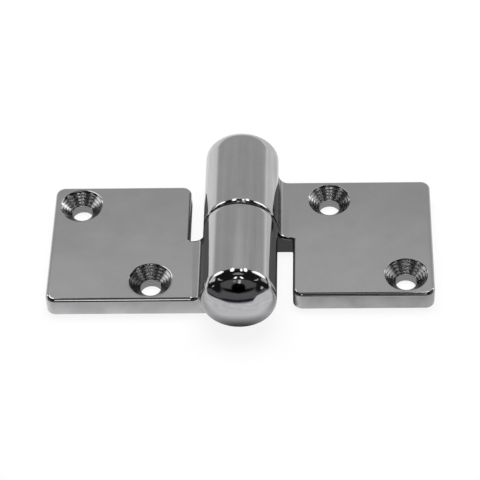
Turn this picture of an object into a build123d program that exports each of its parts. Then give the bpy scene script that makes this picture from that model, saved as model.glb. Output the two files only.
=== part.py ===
from build123d import *
import math
import os

# Lift-off hinge in cast and polished stainless steel, lying open and flat on its back.
# Sizes are in millimetres. X runs across both leaves, Y along the barrel and Z up from the
# screwed-down backs. The origin is on the backs' plane, under the middle of the barrel.
# The frame leaf lies to -X with its knuckle towards -Y. The door leaf is the same casting
# turned half round, so it lies to +X with its knuckle towards +Y, where it lifts off.

# Leaves
leaf_reach = 50.0           # barrel axis to a leaf's outer edge
leaf_width = 41.0           # along the barrel
leaf_shift = 0.7            # a leaf's middle lies this far towards its own knuckle's end
leaf_thickness = 5.3
leaf_corner = 2.5           # outer corners in plan
top_round = 0.8             # polished upper edges
back_round = 0.4            # edges of the screwed-down back
neck_flat = 0.17            # left on a neck's top, between its hollow blend and its rounded edge

# Knuckles
knuckle_diameter = 19.4
plain_barrel = 0.3          # left between the hollow blend at the leaf's side edge and the dome
joint_gap = 0.2             # between the two joint faces
back_grind = 0.1            # taken off under the knuckle where the back is ground flat
dome_height = 5.2           # whole length of the rounded end
dome_shoulder = 2.4         # radius where the dome leaves the barrel
joint_round = 0.6           # rim of the joint face
knuckle_blend = 3.0         # hollow radius between leaf and knuckle

# Screw holes, for 5 mm countersunk screws
screw_hole = 5.5
countersink = 11.2
countersink_angle = 90
countersink_lip = 0.3       # polished rim of the countersink
side_flat = 0.6             # left between a countersink and the leaf's rounded side edge
outer_flat = 0.8            # left between the outer countersink and the rounded outer edge
inner_hole_reach = 23.2     # barrel axis to the inner hole's centre

# Hinge pin, held in the frame leaf's knuckle and free in the door leaf's
pin_diameter = 9.0
pin_running_gap = 0.04      # all round, in both bores
pin_chamfer = 0.8
tip_wall = 7.6              # left between a bore's end and the domed tip
bore_chamfer = 0.5
pin_seat_gap = 0.1          # under the pin, in the frame leaf's bore
pin_end_gap = 1.0           # over the pin, so that the joint faces carry the door

# Worked out from the sizes above
knuckle_radius = knuckle_diameter / 2
axis_height = knuckle_radius - back_grind
barrel_axis = Axis((0, 0, axis_height), (0, -1, 0))
joint_face = -joint_gap / 2
knuckle_edge = -(leaf_width / 2 + leaf_shift)
free_edge = knuckle_edge + leaf_width
dome_start = knuckle_edge - knuckle_blend - plain_barrel
knuckle_tip = dome_start - dome_height
bore_depth = joint_face - knuckle_tip - tip_wall

# Where the leaf's top would meet the knuckle, where their hollow blend leaves it, and the edge
# of the notch that takes the other leaf's knuckle, all beside the barrel's axis
seam_reach = math.sqrt(knuckle_radius**2 - (axis_height - leaf_thickness) ** 2)
blend_reach = math.sqrt(
    (knuckle_radius + knuckle_blend) ** 2 - (axis_height - leaf_thickness - knuckle_blend) ** 2
)
notch_reach = blend_reach + neck_flat + top_round

# The dome is a shoulder arc, tangent to the barrel, that runs into a crown arc about the axis
shoulder_reach = knuckle_radius - dome_shoulder
crown_rise = dome_height - dome_shoulder
crown_centre = (shoulder_reach**2 - crown_rise**2) / (2 * crown_rise)
crown_radius = dome_height + crown_centre
crown_angle = math.atan2(shoulder_reach, crown_centre)

# Hole centres of the frame leaf
side_inset = countersink / 2 + side_flat + top_round
outer_inset = countersink / 2 + outer_flat + top_round
outer_hole = (outer_inset - leaf_reach, free_edge - side_inset)
inner_hole = (-inner_hole_reach, knuckle_edge + side_inset)


def leaf_plate():
    """The leaf: an L in plan, whose neck runs in under its own knuckle, with polished top edges."""
    with BuildPart() as plate:
        with BuildSketch() as plan:
            with BuildLine():
                Polyline(
                    (0, knuckle_edge),
                    (-leaf_reach, knuckle_edge),
                    (-leaf_reach, free_edge),
                    (-notch_reach, free_edge),
                    (-notch_reach, joint_face),
                    (0, joint_face),
                    close=True,
                )
            make_face()
            outer_corners = plan.vertices().filter_by(
                lambda corner: corner.X < -notch_reach / 2 and abs(corner.Y - joint_face) > leaf_corner
            )
            fillet(outer_corners, leaf_corner)
        extrude(amount=leaf_thickness)
        # The neck's two hidden or jointed edges stay square until the knuckle is on
        top_edges = plate.faces().sort_by(Axis.Z)[-1].edges()
        under_knuckle = top_edges.sort_by(Axis.X)[-1]
        beside_joint = top_edges.sort_by_distance((-notch_reach / 2, joint_face, leaf_thickness))[0]
        fillet(top_edges - [under_knuckle, beside_joint], top_round)
    return plate.part


def knuckle():
    """The knuckle, turned about the barrel's axis, with a square joint face and a domed end."""
    underside = axis_height - knuckle_radius

    def crown_point(angle):
        """A point of the crown arc, at this angle from the barrel's axis."""
        return (
            dome_start + crown_centre - crown_radius * math.cos(angle),
            axis_height - crown_radius * math.sin(angle),
        )

    with BuildPart() as barrel:
        # Drawn below the axis, so that the turned surface closes where the back is ground
        with BuildSketch(Plane.YZ):
            with BuildLine():
                Polyline(
                    (knuckle_tip, axis_height),
                    (joint_face, axis_height),
                    (joint_face, underside),
                    (dome_start, underside),
                )
                CenterArc(
                    (dome_start, axis_height - shoulder_reach),
                    dome_shoulder,
                    start_angle=270,
                    arc_size=math.degrees(crown_angle) - 90,
                )
                ThreePointArc(crown_point(crown_angle), crown_point(crown_angle / 2), crown_point(0))
            make_face()
        revolve(axis=barrel_axis)
    return barrel.part


def casting():
    """One leaf with its knuckle: blended together, ground flat on the back, drilled and bored."""
    seam_middle = (-seam_reach, (knuckle_edge + joint_face) / 2, leaf_thickness)

    with BuildPart() as leaf:
        add(leaf_plate())
        add(knuckle())
        split(bisect_by=Plane.XY, keep=Keep.TOP)

        # The hollow between leaf and knuckle goes on round the neck's outer side
        fillet(leaf.edges().sort_by_distance(seam_middle)[0], knuckle_blend)

        # Rim of the joint face, over the knuckle and down along the neck
        mating_face = leaf.faces().filter_by(Axis.Y).sort_by_distance((0, joint_face, axis_height))[0]
        rim = mating_face.edges().filter_by(Axis.Z, reverse=True)
        fillet(rim.filter_by(lambda edge: edge.center().Z > leaf_thickness / 2), joint_round)

        # Outline of the ground back, as far as the knuckle
        ground_face = leaf.faces().filter_by(Axis.Z).sort_by(Axis.Z)[0]
        neck_side = ground_face.edges().filter_by(Axis.X).sort_by(Axis.Y)[0]
        fillet(neck_side, back_round)

        with Locations(*[(x, y, leaf_thickness) for x, y in (outer_hole, inner_hole)]):
            CounterSinkHole(screw_hole / 2, countersink / 2, counter_sink_angle=countersink_angle)
        lips = leaf.edges(Select.LAST).filter_by(GeomType.CIRCLE).group_by(Axis.Z)[-1]
        fillet(lips, countersink_lip)

        with Locations(Plane((0, joint_face, axis_height), z_dir=(0, 1, 0))):
            Hole(pin_diameter / 2 + pin_running_gap, depth=bore_depth)
        mouth = leaf.edges(Select.LAST).filter_by(GeomType.CIRCLE).sort_by(Axis.Y)[-1]
        chamfer(mouth, bore_chamfer)
    return leaf.part


with BuildPart() as frame_leaf:
    add(casting())

with BuildPart() as door_leaf:
    add(casting().rotate(Axis.Z, 180))

pin_start = joint_face - bore_depth + pin_seat_gap
pin_end = -joint_face + bore_depth - pin_end_gap

with BuildPart() as hinge_pin:
    with BuildSketch(Plane((0, pin_start, axis_height), z_dir=(0, 1, 0))):
        Circle(pin_diameter / 2)
    extrude(amount=pin_end - pin_start)
    chamfer(hinge_pin.edges().filter_by(GeomType.CIRCLE), pin_chamfer)

frame_leaf.part.label = "frame_leaf"
door_leaf.part.label = "door_leaf"
hinge_pin.part.label = "hinge_pin"

os.makedirs("parts", exist_ok=True)
export_step(frame_leaf.part, "parts/frame_leaf.step")
export_step(door_leaf.part, "parts/door_leaf.step")
export_step(hinge_pin.part, "parts/hinge_pin.step")
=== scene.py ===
import math

import bpy
from mathutils import Matrix, Vector

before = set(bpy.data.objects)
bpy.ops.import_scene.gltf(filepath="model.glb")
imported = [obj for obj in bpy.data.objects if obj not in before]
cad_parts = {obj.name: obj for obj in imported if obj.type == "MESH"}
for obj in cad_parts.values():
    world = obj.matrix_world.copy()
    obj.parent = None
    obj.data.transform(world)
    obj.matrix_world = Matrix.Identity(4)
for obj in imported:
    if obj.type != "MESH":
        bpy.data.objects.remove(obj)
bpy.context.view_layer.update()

MM = 0.001
WHITE = (1.0, 1.0, 1.0)

# Camera, as it stood for the photograph
CAMERA_ELEVATION = math.radians(46.6131)
CAMERA_YAW = math.radians(-3.2379)
CAMERA_ROLL = math.radians(-2.7933)
CAMERA_DISTANCE = 580.82 * MM
CAMERA_TARGET = Vector((-0.309, 0.1537, 5.0)) * MM
CAMERA_LENS = 166.166
CAMERA_SENSOR = 36.0

# Hinge, in millimetres, as the frame leaf lies. The door leaf is the same turned half round
BARREL_RADIUS = 9.7
AXIS_HEIGHT = 9.6
CROWN_CENTRE = 16.384       # of the ball that a dome's crown is part of, along the barrel
LEAF_TOP = 5.3
LEAF_REACH = 50.0
LEAF_EDGES = (-21.2, 19.8)
LEAF_CORNER = 2.5
NOTCH_REACH = 13.6
BLEND_REACH = 12.63         # where the hollow beside the barrel runs out on the leaf
HOLES = ((-42.8, 12.8), (-23.2, -14.2))

# Hand polishing softens the surface before a fillet: where it starts to tilt, where the fillet
# starts and ends, and the tilt at the fillet's start in radians
DOME_SOFTENING = (22.7, 24.5, 26.28, 0.20)
JOINT_SOFTENING = (-1.7, -0.7, -0.1, 0.17)
LIP_SOFTENING = (-6.05, -5.72, -5.5, 0.16)
EDGE_SOFTENING = (-1.2, -0.8, 0.0, 0.10)

# From here on a pair of distances in millimetres is a fade, from its first to its second

# Where each softening works, beside the barrel's axis
DOME_SOFTENED = (NOTCH_REACH - 2.0, NOTCH_REACH - 2.5)
JOINT_SOFTENED = (BLEND_REACH - 0.2, BARREL_RADIUS + 0.5)
EDGE_SOFTENED = (NOTCH_REACH - 2.0, NOTCH_REACH - 0.5)
LIP_SOFTENED = (-NOTCH_REACH, -NOTCH_REACH - 2.0)

# The dome's crown, above the ground back
CROWN_START = (DOME_SOFTENING[2] + 0.05, DOME_SOFTENING[2] + 0.25)
ABOVE_BACK = (0.03, 0.06)

# Turned marks in the countersinks: the cutter's rings and the finer ones between them
HOLE_INSIDE = (5.35, 5.2)
HOLE_BELOW_TOP = (5.2, 5.05)
RING_SPACING = 0.62
RING_DEPTH = 0.0065
RING_WANDER = 6.0
FINE_SPACING = 0.17
FINE_DEPTH = 0.0006
FINE_PHASE = 1.0

# Polished part of a barrel, and the rougher hollow between it and its leaf, whose colour is darkened as
# painted shade
ON_BARREL = (BARREL_RADIUS + 0.25, BARREL_RADIUS + 0.05)
HOLLOW_START = (BARREL_RADIUS + 0.02, BARREL_RADIUS + 0.14)
HOLLOW_END = (BLEND_REACH + 1.5, BLEND_REACH + 1.0)
HOLLOW_REACH = (BLEND_REACH - 2.0, BLEND_REACH - 2.25)
HOLLOW_FOOT = (LEAF_TOP + 0.1, LEAF_TOP + 0.35)

# Painted shade: a dark line in the joint beside the barrels
CREVICE_OUTSIDE = (0.80, 0.55)
CREVICE_INSIDE = (0.12, 0.25)
CREVICE_START = (BARREL_RADIUS + 0.05, BARREL_RADIUS + 0.4)
CREVICE_END = (NOTCH_REACH, NOTCH_REACH - 0.6)

# Noise patterns: features per millimetre, detail and roughness
CLOUDS = (0.10, 3.0, 0.55)
GRAIN = (1.2, 3.0, 0.6)
STREAKS = (0.55, 2.0)
SWELL = (0.13, 1.0)
DIMPLES = (0.9, 2.0)
PITS = (2.2, 3.0)
WANDER = (0.35, 1.0)
GRINDING = (9.0, 4.0, 0.7)
STAINS = (0.25, 2.0)
TABLE_CLOUDS = (0.16, 2.0)
STREAK_STRETCH = 0.035

# What each pattern adds to the polished steel's shade, to its roughness and, in millimetres, to
# its height. Where four numbers stand, the last two are what the first two turn into
SHADE = 0.86
CLOUD_SHADE = 0.20
GRAIN_SHADE = 0.06
STREAK_SHADE = 0.35
HOLE_SHADE = 0.35
RING_SHADE = 0.32
ROUGHNESS = 0.055
CLOUD_ROUGHNESS = 0.05
HOLE_ROUGHNESS = 0.14
HOLLOW_ROUGHNESS = 0.24
SWELL_HEIGHT = 0.030
DIMPLE_HEIGHT = 0.0012
STREAK_HEIGHT = 0.008
PIT_HEIGHT = 0.03
# Painted shade: the range of the hollows' darkened colour, following the grain
HOLLOW_SHADED_RANGE = (0.3, 0.75, 0.7, 1.25)

# The same for the pin, which is ground
PIN_SHADE = 0.84
PIN_MARK_SHADE = 0.16
PIN_STAIN_SHADE = 0.14
PIN_MARK_HEIGHT = 0.004
PIN_ROUGHNESS = (0.3, 0.7, 0.22, 0.32)

# Colours
STEEL = (0.575, 0.575, 0.573)
# Painted shade: the hollows' darker colour
STEEL_HOLLOW_SHADED = (0.30, 0.31, 0.29)
# Painted shade: the colour of the dark line in the joint
CREVICE_SHADE = (0.03, 0.03, 0.03)
TABLE_TINT = (0.985, 0.975, 1.0)
FRONT_TINT = (1.0, 0.93, 1.05)
FLOOR = (0.8, 0.8, 0.8)

# Stage: the floor, how clear it is to the camera, with the white world behind it, the room, the
# world as a light, and the lamps by name, azimuth and elevation. TWICE_MIRRORED dims what the
# metal mirrors from its second mirror on
FLOOR_SIZE = 4.0
FLOOR_BELOW = 0.01
FLOOR_CLEAR = 0.88
ROOM_RADIUS = 1.3
WORLD_LIGHT = 0.25
TWICE_MIRRORED = (1.2, 1.8, 1.0, 0.42)
SHADOW_LAMPS = (("lamp_left", -35, 62), ("lamp_right", 35, 64), ("lamp_top", 5, 80))
LAMP_SIZE = 0.5
LAMP_POWER = 4.0

# Table that the metal mirrors, in millimetres from the joint's middle. NOSE is the front dome's
# place towards the camera. A fade's other two numbers are the tones that it runs between
NOSE = 25.0
# Painted shadow: the table darkens just in front of the hinge, then lightens further out
TABLE_BESIDE = (-18.0, -27.0, 0.90, 0.56)
TABLE_BEFORE = (-27.0, -34.0)
TABLE_BEFORE_TONE = 0.80
TABLE_CLOUD_TONE = (0.25, 0.75, 0.88, 1.10)
CLOUDS_FROM_NOSE = (24.0, 12.0)
# Painted shadow at the right front, and painted light at the right back
RIGHT_FRONT_X = (5.0, 25.0)
RIGHT_FRONT_Y = (-34.0, -27.0)
RIGHT_FRONT_TONE = 0.70
RIGHT_BACK_X = (12.0, 30.0)
RIGHT_BACK_Y = (-5.0, 12.0)
RIGHT_BACK_TONE = 1.22

# Table's front edge, measured from the nose: how far it bends away at the sides, and where it
# ends at the right. Directions are 1 towards the camera or to the right, and 0 square to that
TABLE_EDGE = 52.0
EDGE_BEND_FROM = 0.45
EDGE_BEND_POWER = 1.5
EDGE_BEND = 400.0
EDGE_RIGHT = (0.48, 0.66, 0.0, 60.0)
EDGE_MIDDLE = (0.75, 0.95)
EDGE_FADE_IN = (-5.0, -18.0)
EDGE_FADE_END = 2.0
EDGE_SIDES = (-0.12, 0.05)
EDGE_LINE = (8.0, 34.0)
BEYOND_LINE = (0.0, 8.0, 0.02, 0.13)
FAR_OUT = (250.0, 400.0)
FAR_OUT_SIDES = (0.80, 0.74)

# Shade on the table under the nose, under the leaves and in the notches
NOSE_TONE = 0.14
NOSE_SHADE = (3.0, 11.0)
UNDER_LEAF_INNER = (-14.5, -16.0)
UNDER_LEAF_OUTER = (-50.0, -48.5)
UNDER_LEAF_INSET = (0.3, 1.5)
UNDER_LEAF_TONE = 0.28
NOTCH_X = (-14.2, -13.6)
NOTCH_JOINT_Y = (-1.5, -0.2)
NOTCH_OPEN_Y = (22.0, 18.0)
NOTCH_TONE = 0.085

# What the metal mirrors of the dim room: azimuth from +Y towards +X, elevation, half width and
# half height in degrees, softness of the outline, brightness
DIM_ROOM = 0.012
ROOM_PATCHES = (
    # Grey front of the room, with a dark opening in the middle
    (180, 17, 38, 28, 0.05, 0.11),
    (180, 0, 38, 9, 0.15, 0.13),
    (180, 11, 37, 4.4, 0.30, 0.004),
    (180, 18, 15, 12, 0.12, 0.0),
    # Soft boxes at both sides
    (-72, 14, 15, 9, 0.4, 0.78),
    (72, 14, 15, 9, 0.4, 0.55),
    (-84, 22, 11, 5, 0.4, 0.85),
    (84, 22, 9, 5, 0.4, 0.34),
    (-110, 36, 15, 2.2, 0.3, 0.6),
    (110, 36, 15, 2.2, 0.3, 0.6),
    # Lamps over the camera and beside it
    (-168, 58, 3.2, 9, 0.2, 2.2),
    (163, 58, 3.2, 9, 0.2, 2.2),
    (177, 31, 2.8, 2.4, 0.3, 0.9),
    (-171, 32, 3.0, 1.6, 0.4, 0.3),
    (-120, 8, 3.5, 3.0, 0.4, 0.7),
    (130, 4, 3.5, 3.0, 0.4, 0.6),
)

# Pale backdrop, a round one behind the hinge: its reach and softness in degrees, and its tone,
# which falls with elevation and rises a little at the top
BACKDROP_REACH = 54.5
BACKDROP_SOFTNESS = 0.7
BACKDROP_TONE = (0.0, 12.0, 0.88, 0.45)
BACKDROP_TOP = (44.5, 48.5, 0.0, 0.10)

# Lamps round the backdrop and, last, a dim one over the hinge: place round the backdrop from
# straight up towards +X, distance from its middle, half width and half height in degrees,
# brightness
RIM_SOFTNESS = 0.12
RIM_LAMPS = (
    (-58, 59, 16, 5, 2.0),
    (60, 59, 22, 5, 2.0),
    (-17, 58, 6.0, 7.5, 2.0),
    (8.5, 60, 3.5, 5.5, 2.0),
    (20, 58, 5.0, 7.5, 2.0),
    (0, 86, 14, 10, 0.30),
)


class Graph:
    """Builds one material's or the world's shader nodes."""

    def __init__(self, tree):
        self.tree = tree
        tree.nodes.clear()

    def add(self, kind, inputs=None, **settings):
        """A node of this kind, with its settings and inputs given as values or sockets."""
        made = self.tree.nodes.new(kind)
        for name, value in settings.items():
            setattr(made, name, value)
        for key, value in (inputs or {}).items():
            self.put(made.inputs[key], value)
        return made

    def put(self, socket, value):
        """Links a socket to the input, or sets the input's value."""
        if isinstance(value, bpy.types.NodeSocket):
            self.tree.links.new(value, socket)
        else:
            socket.default_value = value

    def math(self, operation, *values):
        inputs = dict(enumerate(values))
        return self.add("ShaderNodeMath", inputs, operation=operation).outputs[0]

    def sum(self, first, *others):
        for other in others:
            first = self.math("ADD", first, other)
        return first

    def product(self, first, *others):
        for other in others:
            first = self.math("MULTIPLY", first, other)
        return first

    def difference(self, first, second):
        return self.math("SUBTRACT", first, second)

    def length(self, x, y):
        return self.math("SQRT", self.sum(self.product(x, x), self.product(y, y)))

    def ramp(self, value, start, end, low=0.0, high=1.0):
        """Runs smoothly from low to high as value goes from start to end."""
        inputs = {"Value": value, "From Min": start, "From Max": end, "To Min": low, "To Max": high}
        return self.add("ShaderNodeMapRange", inputs, interpolation_type="SMOOTHSTEP").outputs[0]

    def part(self, value, start, end):
        """How much of the run from start to end the value has covered."""
        covered = self.math("MINIMUM", self.math("MAXIMUM", value, start), end)
        return self.difference(covered, start)

    def blend(self, factor, first, second):
        """A mix of two numbers."""
        return self.add("ShaderNodeMix", {0: factor, 2: first, 3: second}, data_type="FLOAT").outputs[0]

    def tint(self, factor, first, second):
        """A mix of two colours."""
        inputs = {0: factor, 6: opaque(first), 7: opaque(second)}
        return self.add("ShaderNodeMix", inputs, data_type="RGBA").outputs[2]

    def scaled(self, vector, factor):
        """A vector or colour times a number."""
        return self.add("ShaderNodeVectorMath", {0: vector, 3: factor}, operation="SCALE").outputs[0]

    def vector(self, x, y, z):
        return self.add("ShaderNodeCombineXYZ", {0: x, 1: y, 2: z}).outputs[0]

    def noise(self, vector, scale, detail=2.0, roughness=0.5):
        """Soft noise from 0 to 1."""
        inputs = {"Vector": vector, "Scale": scale, "Detail": detail, "Roughness": roughness}
        return self.add("ShaderNodeTexNoise", inputs).outputs["Fac"]

    def place(self):
        """Object coordinates in millimetres: the vector and its x, y and z."""
        metres = self.add("ShaderNodeTexCoord").outputs["Object"]
        millimetres = self.scaled(metres, 1 / MM)
        x, y, z = self.add("ShaderNodeSeparateXYZ", {0: millimetres}).outputs
        return millimetres, x, y, z

    def steel(self, colour, roughness, height, normal=None):
        """Ends the material as bare metal, with its height in millimetres."""
        inputs = {"Strength": 1.0, "Distance": 1.0 * MM, "Height": height}
        if normal is not None:
            inputs["Normal"] = normal
        bump = self.add("ShaderNodeBump", inputs)
        shader = self.add("ShaderNodeBsdfPrincipled", {
            "Base Color": colour,
            "Metallic": 1.0,
            "Roughness": roughness,
            "Normal": bump.outputs[0],
        })
        self.output(shader.outputs[0])

    def output(self, shader, kind="ShaderNodeOutputMaterial"):
        self.add(kind, {"Surface": shader})


def opaque(colour):
    """A colour with its alpha, where it is not a socket already."""
    return (*colour, 1.0) if isinstance(colour, tuple) else colour


def new_material(name):
    material = bpy.data.materials.new(name)
    material.use_nodes = True
    return material, Graph(material.node_tree)


def direction(azimuth, elevation):
    """A unit vector at this azimuth from +Y towards +X and this elevation, in radians."""
    level = math.cos(elevation)
    return Vector((math.sin(azimuth) * level, math.cos(azimuth) * level, math.sin(elevation)))


# The camera

def make_camera():
    """The camera stands where the photograph was taken from."""
    forward = direction(CAMERA_YAW, -CAMERA_ELEVATION)
    level_right = Vector((math.cos(CAMERA_YAW), -math.sin(CAMERA_YAW), 0.0))
    level_up = level_right.cross(forward)
    right = level_right * math.cos(CAMERA_ROLL) + level_up * math.sin(CAMERA_ROLL)
    up = level_up * math.cos(CAMERA_ROLL) - level_right * math.sin(CAMERA_ROLL)
    data = bpy.data.cameras.new("camera")
    data.lens = CAMERA_LENS
    data.sensor_width = CAMERA_SENSOR
    camera = bpy.data.objects.new("camera", data)
    bpy.context.scene.collection.objects.link(camera)
    turned = Matrix((right, up, -forward)).transposed().to_4x4()
    camera.matrix_world = Matrix.Translation(CAMERA_TARGET - forward * CAMERA_DISTANCE) @ turned
    bpy.context.scene.camera = camera


# Polished castings

def own_side(graph, x, y):
    """Turns the door leaf's half back onto the frame leaf's, which holds the holes in HOLES."""
    turned = graph.math("GREATER_THAN", x, 0.0)
    return graph.blend(turned, x, graph.product(x, -1.0)), graph.blend(turned, y, graph.product(y, -1.0))


def hole_reach(graph, x, y):
    """Distance from the nearer screw hole's axis."""
    own_x, own_y = own_side(graph, x, y)
    reaches = [
        graph.length(graph.difference(own_x, hole_x), graph.difference(own_y, hole_y))
        for hole_x, hole_y in HOLES
    ]
    return graph.math("MINIMUM", *reaches)


def softening(graph, run, start, fillet, end, tilt):
    """Height that hand polishing has taken off along this run, which a fillet ends."""
    gentle = graph.part(run, start, fillet)
    gentle = graph.product(gentle, gentle, tilt / (fillet - start) / 2)
    tight = graph.part(run, fillet, end)
    tight = graph.difference(tight, graph.product(tight, tight, 0.5 / (end - fillet)))
    return graph.product(graph.sum(gentle, graph.product(tight, tilt)), -1.0)


def past_outline(graph, x, y):
    """Distance past the leaf's outline with its rounded outer corners, below zero inside it."""
    own_x, own_y = own_side(graph, x, y)
    near, far = LEAF_EDGES[0] + LEAF_CORNER, LEAF_EDGES[1] - LEAF_CORNER
    outward = graph.difference(LEAF_CORNER - LEAF_REACH, own_x)
    sideways = graph.math("MAXIMUM", graph.difference(own_y, far), graph.difference(near, own_y))
    outward = graph.math("MAXIMUM", outward, 0.0)
    sideways = graph.math("MAXIMUM", sideways, 0.0)
    return graph.difference(graph.length(outward, sideways), LEAF_CORNER)


def worn_edges(graph, x, y, reach):
    """Height taken off at the dome's shoulder, the joint's rims, the leaves' outline and hole lips."""
    along = graph.math("ABSOLUTE", y)
    across = graph.math("ABSOLUTE", x)
    dome = softening(graph, along, *DOME_SOFTENING)
    dome = graph.product(dome, graph.ramp(across, *DOME_SOFTENED))
    joint = softening(graph, graph.product(along, -1.0), *JOINT_SOFTENING)
    joint = graph.product(joint, graph.ramp(across, *JOINT_SOFTENED))
    outline = softening(graph, past_outline(graph, x, y), *EDGE_SOFTENING)
    outline = graph.product(outline, graph.ramp(across, *EDGE_SOFTENED))
    lips = softening(graph, graph.product(reach, -1.0), *LIP_SOFTENING)
    lips = graph.product(lips, graph.ramp(x, *LIP_SOFTENED))
    return graph.sum(dome, joint, outline, lips)


def turned_rings(graph, place, reach, z):
    """Grooves that the countersink cutter and the drill left: their height, where they are, and
    a shade along them."""
    inside = graph.product(graph.ramp(reach, *HOLE_INSIDE), graph.ramp(z, *HOLE_BELOW_TOP))
    wander = graph.noise(place, *WANDER)
    phase = graph.sum(graph.product(z, 2 * math.pi / RING_SPACING), graph.product(wander, RING_WANDER))
    waves = graph.math("SINE", phase)
    fine = graph.math("SINE", graph.sum(graph.product(z, 2 * math.pi / FINE_SPACING), FINE_PHASE))
    rings = graph.sum(graph.product(waves, RING_DEPTH), graph.product(fine, FINE_DEPTH))
    return graph.product(rings, inside), inside, graph.product(waves, inside)


def crown_normal(graph, place, y, z):
    """The true normal of the dome's crown, as a ball about its centre, and the mesh's elsewhere."""
    side = graph.math("SIGN", y)
    centre = graph.vector(0.0, graph.product(side, CROWN_CENTRE), AXIS_HEIGHT)
    outward = graph.add("ShaderNodeVectorMath", {0: place, 1: centre}, operation="SUBTRACT").outputs[0]
    outward = graph.add("ShaderNodeVectorTransform", {0: outward}, vector_type="NORMAL").outputs[0]
    meshed = graph.add("ShaderNodeNewGeometry").outputs["Normal"]
    on_crown = graph.product(
        graph.ramp(graph.math("ABSOLUTE", y), *CROWN_START),
        graph.ramp(z, *ABOVE_BACK),
    )
    inputs = {0: on_crown, 4: meshed, 5: outward}
    mixed = graph.add("ShaderNodeMix", inputs, data_type="VECTOR").outputs[1]
    return graph.add("ShaderNodeVectorMath", {0: mixed}, operation="NORMALIZE").outputs[0]


def polished_steel(name):
    """Cast stainless steel polished by hand, with turned countersinks, rougher hollows, and painted
    shade darkening the hollows and the joint.
    """
    material, graph = new_material(name)
    place, x, y, z = graph.place()
    reach = hole_reach(graph, x, y)
    rings, in_hole, ring_shade = turned_rings(graph, place, reach, z)

    above_axis = graph.difference(z, AXIS_HEIGHT)
    from_axis = graph.length(x, above_axis)
    on_barrel = graph.ramp(from_axis, *ON_BARREL)
    round_barrel = graph.product(graph.math("ARCTAN2", x, above_axis), BARREL_RADIUS)

    hollow = graph.product(
        graph.ramp(from_axis, *HOLLOW_START),
        graph.ramp(graph.math("ABSOLUTE", x), *HOLLOW_REACH),
        graph.ramp(z, *HOLLOW_FOOT),
        graph.ramp(from_axis, *HOLLOW_END),
    )
    # Painted shade: where the dark line runs along the joint
    crevice_shade = graph.product(
        graph.ramp(graph.math("ABSOLUTE", y), *CREVICE_OUTSIDE),
        graph.ramp(graph.math("ABSOLUTE", y), *CREVICE_INSIDE),
        graph.ramp(from_axis, *CREVICE_START),
        graph.ramp(graph.math("ABSOLUTE", x), *CREVICE_END),
    )

    clouds = graph.noise(place, *CLOUDS)
    grain = graph.noise(place, *GRAIN)
    streaks = graph.noise(graph.vector(round_barrel, graph.product(y, STREAK_STRETCH), 0.0), *STREAKS)
    off_dome = graph.ramp(graph.math("ABSOLUTE", y), DOME_SOFTENING[1], DOME_SOFTENING[0])
    streaks = graph.product(graph.difference(streaks, 0.5), on_barrel, off_dome)

    shade = graph.sum(
        SHADE,
        graph.product(clouds, CLOUD_SHADE),
        graph.product(grain, GRAIN_SHADE),
        graph.product(streaks, STREAK_SHADE),
        graph.product(in_hole, HOLE_SHADE),
        graph.product(ring_shade, RING_SHADE),
    )
    polished = graph.scaled(STEEL, shade)
    # Painted shade: the hollow's colour is darkened, on top of its rougher finish
    hollow_shaded = graph.scaled(STEEL_HOLLOW_SHADED, graph.ramp(grain, *HOLLOW_SHADED_RANGE))
    colour = graph.tint(hollow, polished, hollow_shaded)
    # Painted shade: the joint's dark line
    colour = graph.tint(crevice_shade, colour, CREVICE_SHADE)

    roughness = graph.sum(
        ROUGHNESS,
        graph.product(clouds, CLOUD_ROUGHNESS),
        graph.product(in_hole, HOLE_ROUGHNESS),
    )
    roughness = graph.blend(hollow, roughness, HOLLOW_ROUGHNESS)

    swell = graph.noise(place, *SWELL)
    dimples = graph.noise(place, *DIMPLES)
    pits = graph.noise(place, *PITS)
    height = graph.sum(
        graph.product(swell, SWELL_HEIGHT),
        graph.product(dimples, DIMPLE_HEIGHT),
        graph.product(streaks, STREAK_HEIGHT),
        graph.product(pits, hollow, PIT_HEIGHT),
        rings,
        worn_edges(graph, x, y, reach),
    )
    graph.steel(colour, roughness, height, crown_normal(graph, place, y, z))
    return material


def ground_steel(name):
    """Ground stainless steel of the pin, with fine marks round it."""
    material, graph = new_material(name)
    place, _, y, _ = graph.place()
    marks = graph.noise(graph.vector(0.0, y, 0.0), *GRINDING)
    stains = graph.noise(place, *STAINS)
    shade = graph.sum(
        PIN_SHADE,
        graph.product(marks, PIN_MARK_SHADE),
        graph.product(stains, PIN_STAIN_SHADE),
    )
    colour = graph.scaled(STEEL, shade)
    height = graph.product(marks, PIN_MARK_HEIGHT)
    graph.steel(colour, graph.ramp(marks, *PIN_ROUGHNESS), height)
    return material


# The stage

def lit_table(graph, place, x, y, nose):
    """Brightness of the table round the hinge, before its edge and shades."""
    # Painted shadow in front of the hinge and at its right front
    tone = graph.ramp(y, *TABLE_BESIDE)
    tone = graph.blend(graph.ramp(y, *TABLE_BEFORE), tone, TABLE_BEFORE_TONE)
    clouds = graph.noise(place, *TABLE_CLOUDS)
    clouds = graph.ramp(clouds, *TABLE_CLOUD_TONE)
    tone = graph.product(tone, graph.blend(graph.ramp(nose, *CLOUDS_FROM_NOSE), clouds, 1.0))
    right_front = graph.product(graph.ramp(x, *RIGHT_FRONT_X), graph.ramp(y, *RIGHT_FRONT_Y))
    return graph.product(tone, graph.ramp(right_front, 0.0, 1.0, 1.0, RIGHT_FRONT_TONE))


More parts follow.
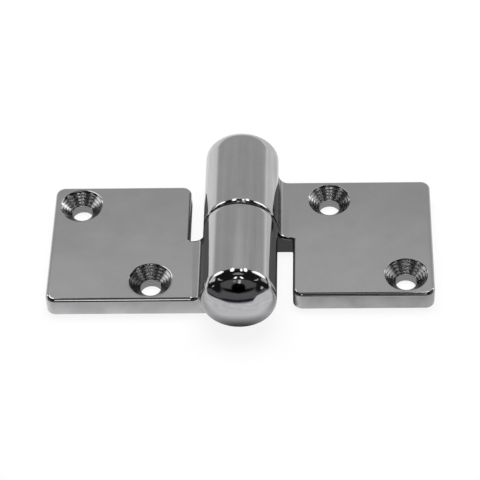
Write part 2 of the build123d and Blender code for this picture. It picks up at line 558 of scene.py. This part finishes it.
def beyond_table(graph, nose, towards_camera, to_right):
    """How far a place is past the table's front edge, and the brightness there: a black line that
    fades in towards the middle, the grey floor, and black far out at the sides."""
    sideways = graph.math("MAXIMUM", graph.difference(EDGE_BEND_FROM, towards_camera), 0.0)
    bend = graph.product(graph.math("POWER", sideways, EDGE_BEND_POWER), EDGE_BEND)
    edge = graph.sum(TABLE_EDGE, bend)
    edge = graph.sum(edge, graph.ramp(to_right, *EDGE_RIGHT))
    middle = graph.ramp(towards_camera, *EDGE_MIDDLE)
    past_edge = graph.difference(nose, edge)
    beyond = graph.ramp(past_edge, graph.blend(middle, *EDGE_FADE_IN), EDGE_FADE_END)
    beyond = graph.product(beyond, graph.ramp(towards_camera, *EDGE_SIDES))
    line_end = graph.blend(middle, *EDGE_LINE)
    far = graph.ramp(graph.difference(past_edge, line_end), *BEYOND_LINE)
    far_out = graph.product(graph.ramp(nose, *FAR_OUT), graph.ramp(towards_camera, *FAR_OUT_SIDES))
    return beyond, graph.blend(far_out, far, DIM_ROOM)


def shaded_table(graph, tone, x, y, nose):
    """The table's brightness with the shade of the front knuckle's tip, the leaves and notches."""
    per_millimetre = (1.0 - NOSE_TONE) / (NOSE_SHADE[1] - NOSE_SHADE[0])
    off_nose = graph.sum(NOSE_TONE, graph.product(graph.part(nose, *NOSE_SHADE), per_millimetre))
    tone = graph.product(tone, off_nose)
    own_x, own_y = own_side(graph, x, y)
    under_leaf = graph.product(
        graph.ramp(own_x, *UNDER_LEAF_INNER),
        graph.ramp(own_y, *[LEAF_EDGES[0] + inset for inset in UNDER_LEAF_INSET]),
        graph.ramp(own_y, *[LEAF_EDGES[1] - inset for inset in UNDER_LEAF_INSET]),
        graph.ramp(own_x, *UNDER_LEAF_OUTER),
    )
    tone = graph.blend(under_leaf, tone, UNDER_LEAF_TONE)
    notch = graph.product(
        graph.ramp(own_x, *NOTCH_X),
        graph.ramp(own_y, *NOTCH_JOINT_Y),
        graph.ramp(own_y, *NOTCH_OPEN_Y),
    )
    return graph.blend(notch, tone, NOTCH_TONE)


def table_tone(graph):
    """Brightness of the table as the metal mirrors it, and how far it is the dim room in front."""
    place, x, y, _ = graph.place()
    nose = graph.length(x, graph.sum(y, NOSE))
    towards_camera = graph.math("DIVIDE", graph.product(graph.sum(y, NOSE), -1.0), nose)
    to_right = graph.math("DIVIDE", x, nose)
    tone = lit_table(graph, place, x, y, nose)
    beyond, front = beyond_table(graph, nose, towards_camera, to_right)
    tone = graph.blend(beyond, tone, front)
    # Painted light at the right back
    right_back = graph.product(graph.ramp(x, *RIGHT_BACK_X), graph.ramp(y, *RIGHT_BACK_Y))
    tone = graph.product(tone, graph.ramp(right_back, 0.0, 1.0, 1.0, RIGHT_BACK_TONE))
    return shaded_table(graph, tone, x, y, nose), beyond


def twice_mirrored(graph, path):
    """What the metal mirrors by way of its own hollows and flanks comes back darker."""
    return graph.ramp(path["Glossy Depth"], *TWICE_MIRRORED)


def make_floor():
    """Mostly clear to the camera, over the white world, with the hinge's soft shadow on it. The
    metal mirrors a table with an edge there."""
    material, graph = new_material("floor")
    path = graph.add("ShaderNodeLightPath").outputs
    lit = graph.add("ShaderNodeBsdfDiffuse", {"Color": opaque(FLOOR)}).outputs[0]
    clear = graph.add("ShaderNodeBsdfTransparent", {"Color": opaque(WHITE)}).outputs[0]
    direct = graph.math("MAXIMUM", path["Is Camera Ray"], path["Is Transmission Ray"])
    inputs = {0: graph.product(direct, FLOOR_CLEAR), 1: lit, 2: clear}
    seen = graph.add("ShaderNodeMixShader", inputs).outputs[0]
    tone, beyond = table_tone(graph)
    tone = graph.product(tone, twice_mirrored(graph, path))
    colour = graph.tint(beyond, TABLE_TINT, FRONT_TINT)
    mirrored = graph.add("ShaderNodeEmission", {"Color": colour, "Strength": tone}).outputs[0]
    inputs = {0: path["Is Glossy Ray"], 1: seen, 2: mirrored}
    graph.output(graph.add("ShaderNodeMixShader", inputs).outputs[0])
    bpy.ops.mesh.primitive_plane_add(size=FLOOR_SIZE, location=(0, 0, -FLOOR_BELOW * MM))
    floor = bpy.context.object
    floor.name = "floor"
    floor.data.materials.append(material)


def oval(graph, across, up, half_width, half_height, softness):
    """1 inside a soft oval patch."""
    across = graph.product(across, 1 / half_width)
    up = graph.product(up, 1 / half_height)
    return graph.ramp(graph.length(across, up), 1 + softness, 1 - softness)


def room_tone(graph):
    """Brightness of the room and its lamps, seen from the hinge."""
    _, x, y, z = graph.place()
    squares = [graph.product(side, side) for side in (x, y, z)]
    reach = graph.math("SQRT", graph.sum(*squares))
    elevation = graph.math("DEGREES", graph.math("ARCSINE", graph.math("DIVIDE", z, reach)))
    azimuth = graph.math("DEGREES", graph.math("ARCTAN2", x, y))
    from_behind = graph.math("DEGREES", graph.math("ARCCOSINE", graph.math("DIVIDE", y, reach)))
    round_backdrop = graph.math("DEGREES", graph.math("ARCTAN2", x, z))
    narrowing = graph.math("COSINE", graph.math("RADIANS", elevation))
    tone = DIM_ROOM
    for centre, height, half_width, half_height, softness, brightness in ROOM_PATCHES:
        across = graph.math("WRAP", graph.difference(azimuth, centre), -180.0, 180.0)
        across = graph.product(across, narrowing)
        up = graph.difference(elevation, height)
        inside = oval(graph, across, up, half_width, half_height, softness)
        tone = graph.blend(inside, tone, brightness)
    backdrop = graph.sum(
        graph.ramp(elevation, *BACKDROP_TONE),
        graph.ramp(elevation, *BACKDROP_TOP),
    )
    edge = (BACKDROP_REACH + BACKDROP_SOFTNESS, BACKDROP_REACH - BACKDROP_SOFTNESS)
    tone = graph.blend(graph.ramp(from_behind, *edge), tone, backdrop)
    for place_round, distance, half_width, half_height, brightness in RIM_LAMPS:
        across = graph.difference(round_backdrop, place_round)
        up = graph.difference(from_behind, distance)
        inside = oval(graph, across, up, half_width, half_height, RIM_SOFTNESS)
        tone = graph.blend(inside, tone, brightness)
    return tone


def make_room():
    """The dim room round the hinge, with a pale backdrop behind it, which only the metal sees."""
    material, graph = new_material("room")
    path = graph.add("ShaderNodeLightPath").outputs
    strength = graph.product(room_tone(graph), twice_mirrored(graph, path))
    shader = graph.add("ShaderNodeEmission", {"Color": opaque(WHITE), "Strength": strength})
    graph.output(shader.outputs[0])
    bpy.ops.mesh.primitive_uv_sphere_add(segments=64, ring_count=32, radius=ROOM_RADIUS)
    room = bpy.context.object
    room.name = "room"
    room.data.materials.append(material)
    room.visible_camera = False
    room.visible_diffuse = False
    room.visible_shadow = False
    room.visible_transmission = False


def make_lamp(name, azimuth, elevation):
    """A soft lamp a metre off, for the hinge's shadow on the floor."""
    out = direction(math.radians(azimuth), math.radians(elevation))
    data = bpy.data.lights.new(name, "AREA")
    data.shape = "DISK"
    data.size = LAMP_SIZE
    data.energy = LAMP_POWER
    lamp = bpy.data.objects.new(name, data)
    bpy.context.scene.collection.objects.link(lamp)
    lamp.location = out
    lamp.rotation_mode = "QUATERNION"
    lamp.rotation_quaternion = out.to_track_quat("Z", "Y")
    lamp.visible_glossy = False


def make_world():
    """White to direct rays, metal and glass, and dimmer as a light."""
    world = bpy.data.worlds.new("world")
    bpy.context.scene.world = world
    world.use_nodes = True
    graph = Graph(world.node_tree)
    path = graph.add("ShaderNodeLightPath").outputs
    direct = graph.math("MAXIMUM", path["Is Camera Ray"], path["Is Glossy Ray"])
    direct = graph.math("MAXIMUM", direct, path["Is Transmission Ray"])
    strength = graph.blend(direct, WORLD_LIGHT, 1.0)
    shader = graph.add("ShaderNodeBackground", {"Color": opaque(WHITE), "Strength": strength})
    graph.output(shader.outputs[0], "ShaderNodeOutputWorld")


make_camera()
casting_finish = polished_steel("polished_casting")
pin_finish = ground_steel("ground_pin")
for node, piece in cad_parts.items():
    piece.data.materials.clear()
    piece.data.materials.append(pin_finish if node == "hinge_pin" else casting_finish)
make_floor()
make_room()
for lamp_name, azimuth, elevation in SHADOW_LAMPS:
    make_lamp(lamp_name, azimuth, elevation)
make_world()
bpy.context.scene.view_settings.view_transform = "Standard"
